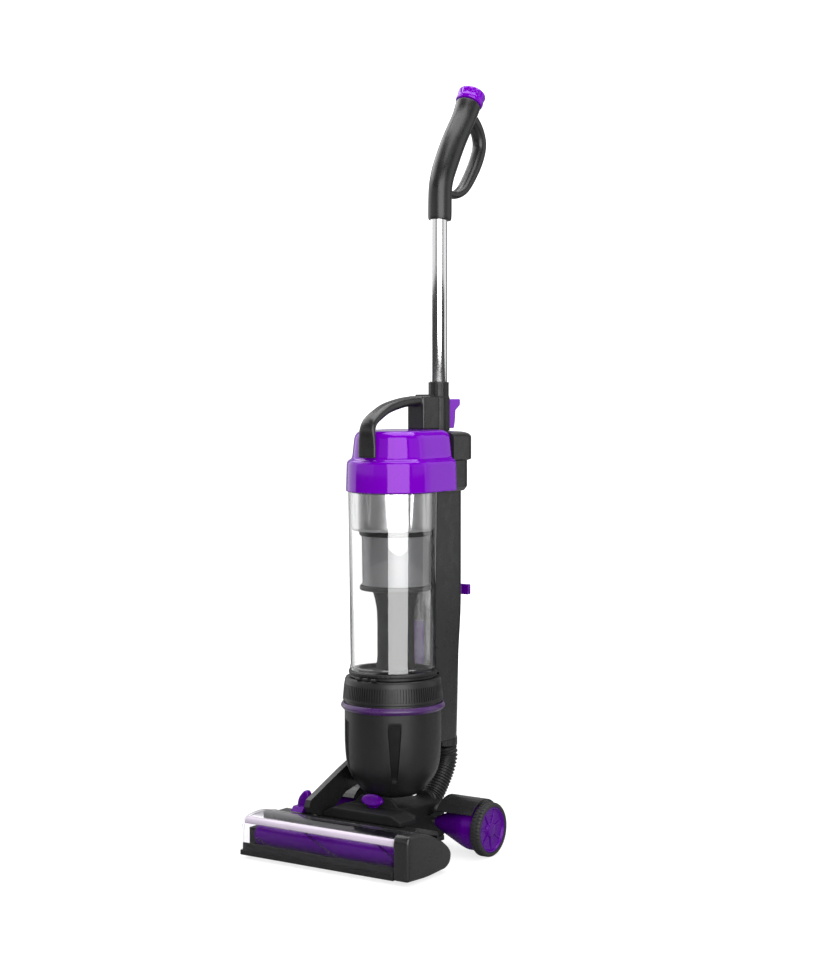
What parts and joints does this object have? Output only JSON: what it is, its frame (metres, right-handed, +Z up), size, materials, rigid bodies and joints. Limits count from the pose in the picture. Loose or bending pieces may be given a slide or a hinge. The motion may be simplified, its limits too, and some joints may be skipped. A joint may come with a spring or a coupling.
{
  "type": "upright vacuum cleaner",
  "caption": "Bagless upright vacuum: floor head with a clear hood over its brush roll, reclining motor body, clear bin with a cyclone, lift-off lid unit, chrome wand and looped handle",
  "frame": {"origin": "centre of the footprint of the whole cleaner, on the floor", "axes": "+X is to the right of somebody facing the nozzle's front, -Y is the nozzle's front, +Z is up along the wand"},
  "size_m": [0.29, 0.4039, 1.0994],
  "materials": {
    "matte_black_plastic": "fine matte texture",
    "satin_black_plastic": "satin",
    "gloss_purple_plastic": "high gloss",
    "deep_purple_plastic": "gloss",
    "clear_plastic": "clear, polished",
    "silver_plated_plastic": "bright metallised",
    "chrome_tube": "polished",
    "steel": "turned, brushed",
    "motor_alloy": "cast and turned",
    "grey_mesh": "fine perforated mesh",
    "rubber": "matte",
    "tyre_rubber": "matte tread",
    "filter_foam": "open foam",
    "bristle": "stiff nylon tufts"
  },
  "bodies": {
    "floor_head": {"sole_plate": "matte_black_plastic", "nozzle_deck": "satin_black_plastic", "end_cap_right": "satin_black_plastic", "neck_block": "satin_black_plastic", "glide_left": "steel", "glide_right": "steel", "brush_motor": "motor_alloy", "drive_belt": "rubber", "axle": "steel", "fender_left": "satin_black_plastic", "fender_right": "satin_black_plastic", "yoke_arm_left": "satin_black_plastic"},
    "hood": {"clear_hood": "clear_plastic"},
    "brush": {"brush_roll": "deep_purple_plastic", "bristle_strip_1": "bristle", "bristle_strip_2": "bristle", "brush_pulley": "steel"},
    "brush_drive": {"motor_pulley": "steel"},
    "wheel_left_set": {"wheel_left": "deep_purple_plastic", "tyre_left": "tyre_rubber"},
    "wheel_right_set": {"wheel_right": "deep_purple_plastic", "tyre_right": "tyre_rubber"},
    "pedal": {"recline_pedal": "deep_purple_plastic"},
    "latch": {"hood_latch": "gloss_purple_plastic"},
    "upright_body": {"motor_housing": "matte_black_plastic", "vent_ring": "matte_black_plastic", "accent_ring": "gloss_purple_plastic", "pivot_pin_left": "steel", "fan_motor": "motor_alloy", "exhaust_filter": "filter_foam", "pre_motor_filter": "filter_foam", "spine": "satin_black_plastic", "spine_cover": "satin_black_plastic", "lower_cable_hook": "deep_purple_plastic", "cord_gland": "rubber", "wand_collar": "matte_black_plastic", "hose_cuff": "matte_black_plastic", "lower_hose": "rubber"},
    "fan": {"impeller": "matte_black_plastic"},
    "switch": {"power_switch": "rubber"},
    "bin": {"bin_cup": "clear_plastic", "bin_ring": "matte_black_plastic", "cyclone_chamber": "silver_plated_plastic", "cyclone_collar": "matte_black_plastic", "cyclone_shroud": "grey_mesh", "shroud_flange": "matte_black_plastic", "cyclone_cone": "matte_black_plastic", "lid": "gloss_purple_plastic", "carry_handle": "satin_black_plastic", "door_pushrod": "matte_black_plastic"},
    "bin_floor": {"bin_door": "matte_black_plastic"},
    "catch": {"door_catch": "gloss_purple_plastic"},
    "bin_button": {"bin_release_button": "satin_black_plastic"},
    "wand": {"wand_tube": "chrome_tube", "handle_grip": "satin_black_plastic"},
    "twist_collar": {"end_collar": "gloss_purple_plastic"},
    "wand_button": {"wand_release_button": "gloss_purple_plastic"},
    "swivel_hook": {"upper_cable_hook": "gloss_purple_plastic"}
  },
  "joints": [
    {"name": "hood_lift", "type": "slide", "parent": "floor_head", "child": "hood", "axis": [0, 0, 1], "range_m": [0, 0.05]},
    {"name": "drive_spin", "type": "hinge", "parent": "floor_head", "child": "brush_drive", "pos_m": [0.12, -0.12075, 0.0295], "axis": [1, 0, 0], "continuous": true},
    {"name": "brush_spin", "type": "hinge", "parent": "floor_head", "child": "brush", "pos_m": [0, -0.17175, 0.031], "axis": [1, 0, 0], "continuous": true},
    {"name": "wheel_left_spin", "type": "hinge", "parent": "floor_head", "child": "wheel_left_set", "pos_m": [-0.12, 0.00425, 0.038], "axis": [1, 0, 0], "continuous": true},
    {"name": "wheel_right_spin", "type": "hinge", "parent": "floor_head", "child": "wheel_right_set", "pos_m": [0.12, 0.00425, 0.038], "axis": [1, 0, 0], "continuous": true},
    {"name": "pedal_press", "type": "hinge", "parent": "floor_head", "child": "pedal", "pos_m": [0, -0.08475, 0.0676], "axis": [1, 0, 0], "range_deg": [0, 8], "stiffness_Nm_per_rad": 0.3},
    {"name": "latch_lift", "type": "hinge", "parent": "floor_head", "child": "latch", "pos_m": [-0.1, -0.09875, 0.0525], "axis": [-1, 0, 0], "range_deg": [0, 30]},
    {"name": "recline", "type": "hinge", "parent": "floor_head", "child": "upright_body", "pos_m": [0, -0.02375, 0.103], "axis": [-1, 0, 0], "range_deg": [0, 45], "deforming": ["lower_hose"]},
    {"name": "fan_spin", "type": "hinge", "parent": "upright_body", "child": "fan", "pos_m": [0, -0.03275, 0.183], "axis": [0, 0, 1], "continuous": true},
    {"name": "switch_rock", "type": "hinge", "parent": "upright_body", "child": "switch", "pos_m": [0, 0.08525, 0.23], "axis": [1, 0, 0], "range_deg": [0, 6]},
    {"name": "bin_lift", "type": "slide", "parent": "upright_body", "child": "bin", "axis": [0, 0, 1], "range_m": [0, 0.2]},
    {"name": "bin_door_swing", "type": "hinge", "parent": "bin", "child": "bin_floor", "pos_m": [0, -0.09825, 0.25], "axis": [-1, 0, 0], "range_deg": [0, 69]},
    {"name": "door_catch_press", "type": "hinge", "parent": "bin", "child": "catch", "pos_m": [0, 0.03275, 0.316], "axis": [1, 0, 0], "range_deg": [0, 3.5], "stiffness_Nm_per_rad": 0.5},
    {"name": "bin_button_press", "type": "slide", "parent": "bin", "child": "bin_button", "axis": [0, 0, -1], "range_m": [0, 0.003], "stiffness_N_per_m": 400},
    {"name": "wand_lift", "type": "slide", "parent": "upright_body", "child": "wand", "axis": [0, 0, 1], "range_m": [0, 0.2]},
    {"name": "collar_twist", "type": "hinge", "parent": "wand", "child": "twist_collar", "pos_m": [0, 0.16775, 1.081], "axis": [0, 0.515, 0.8572], "range_deg": [0, 30]},
    {"name": "wand_button_press", "type": "slide", "parent": "upright_body", "child": "wand_button", "axis": [0, -1, 0], "range_m": [0, 0.0015], "stiffness_N_per_m": 400},
    {"name": "hook_swivel", "type": "hinge", "parent": "upright_body", "child": "swivel_hook", "pos_m": [0, 0.09925, 0.605], "axis": [0, 1, 0], "range_deg": [0, 180]}
  ],
  "couplings": [
    {"joint": "drive_spin", "follows": "brush_spin", "ratio": 1.6667},
    {"joint": "bin_door_swing", "follows": "bin_lift", "rad_per_m": 6}
  ]
}
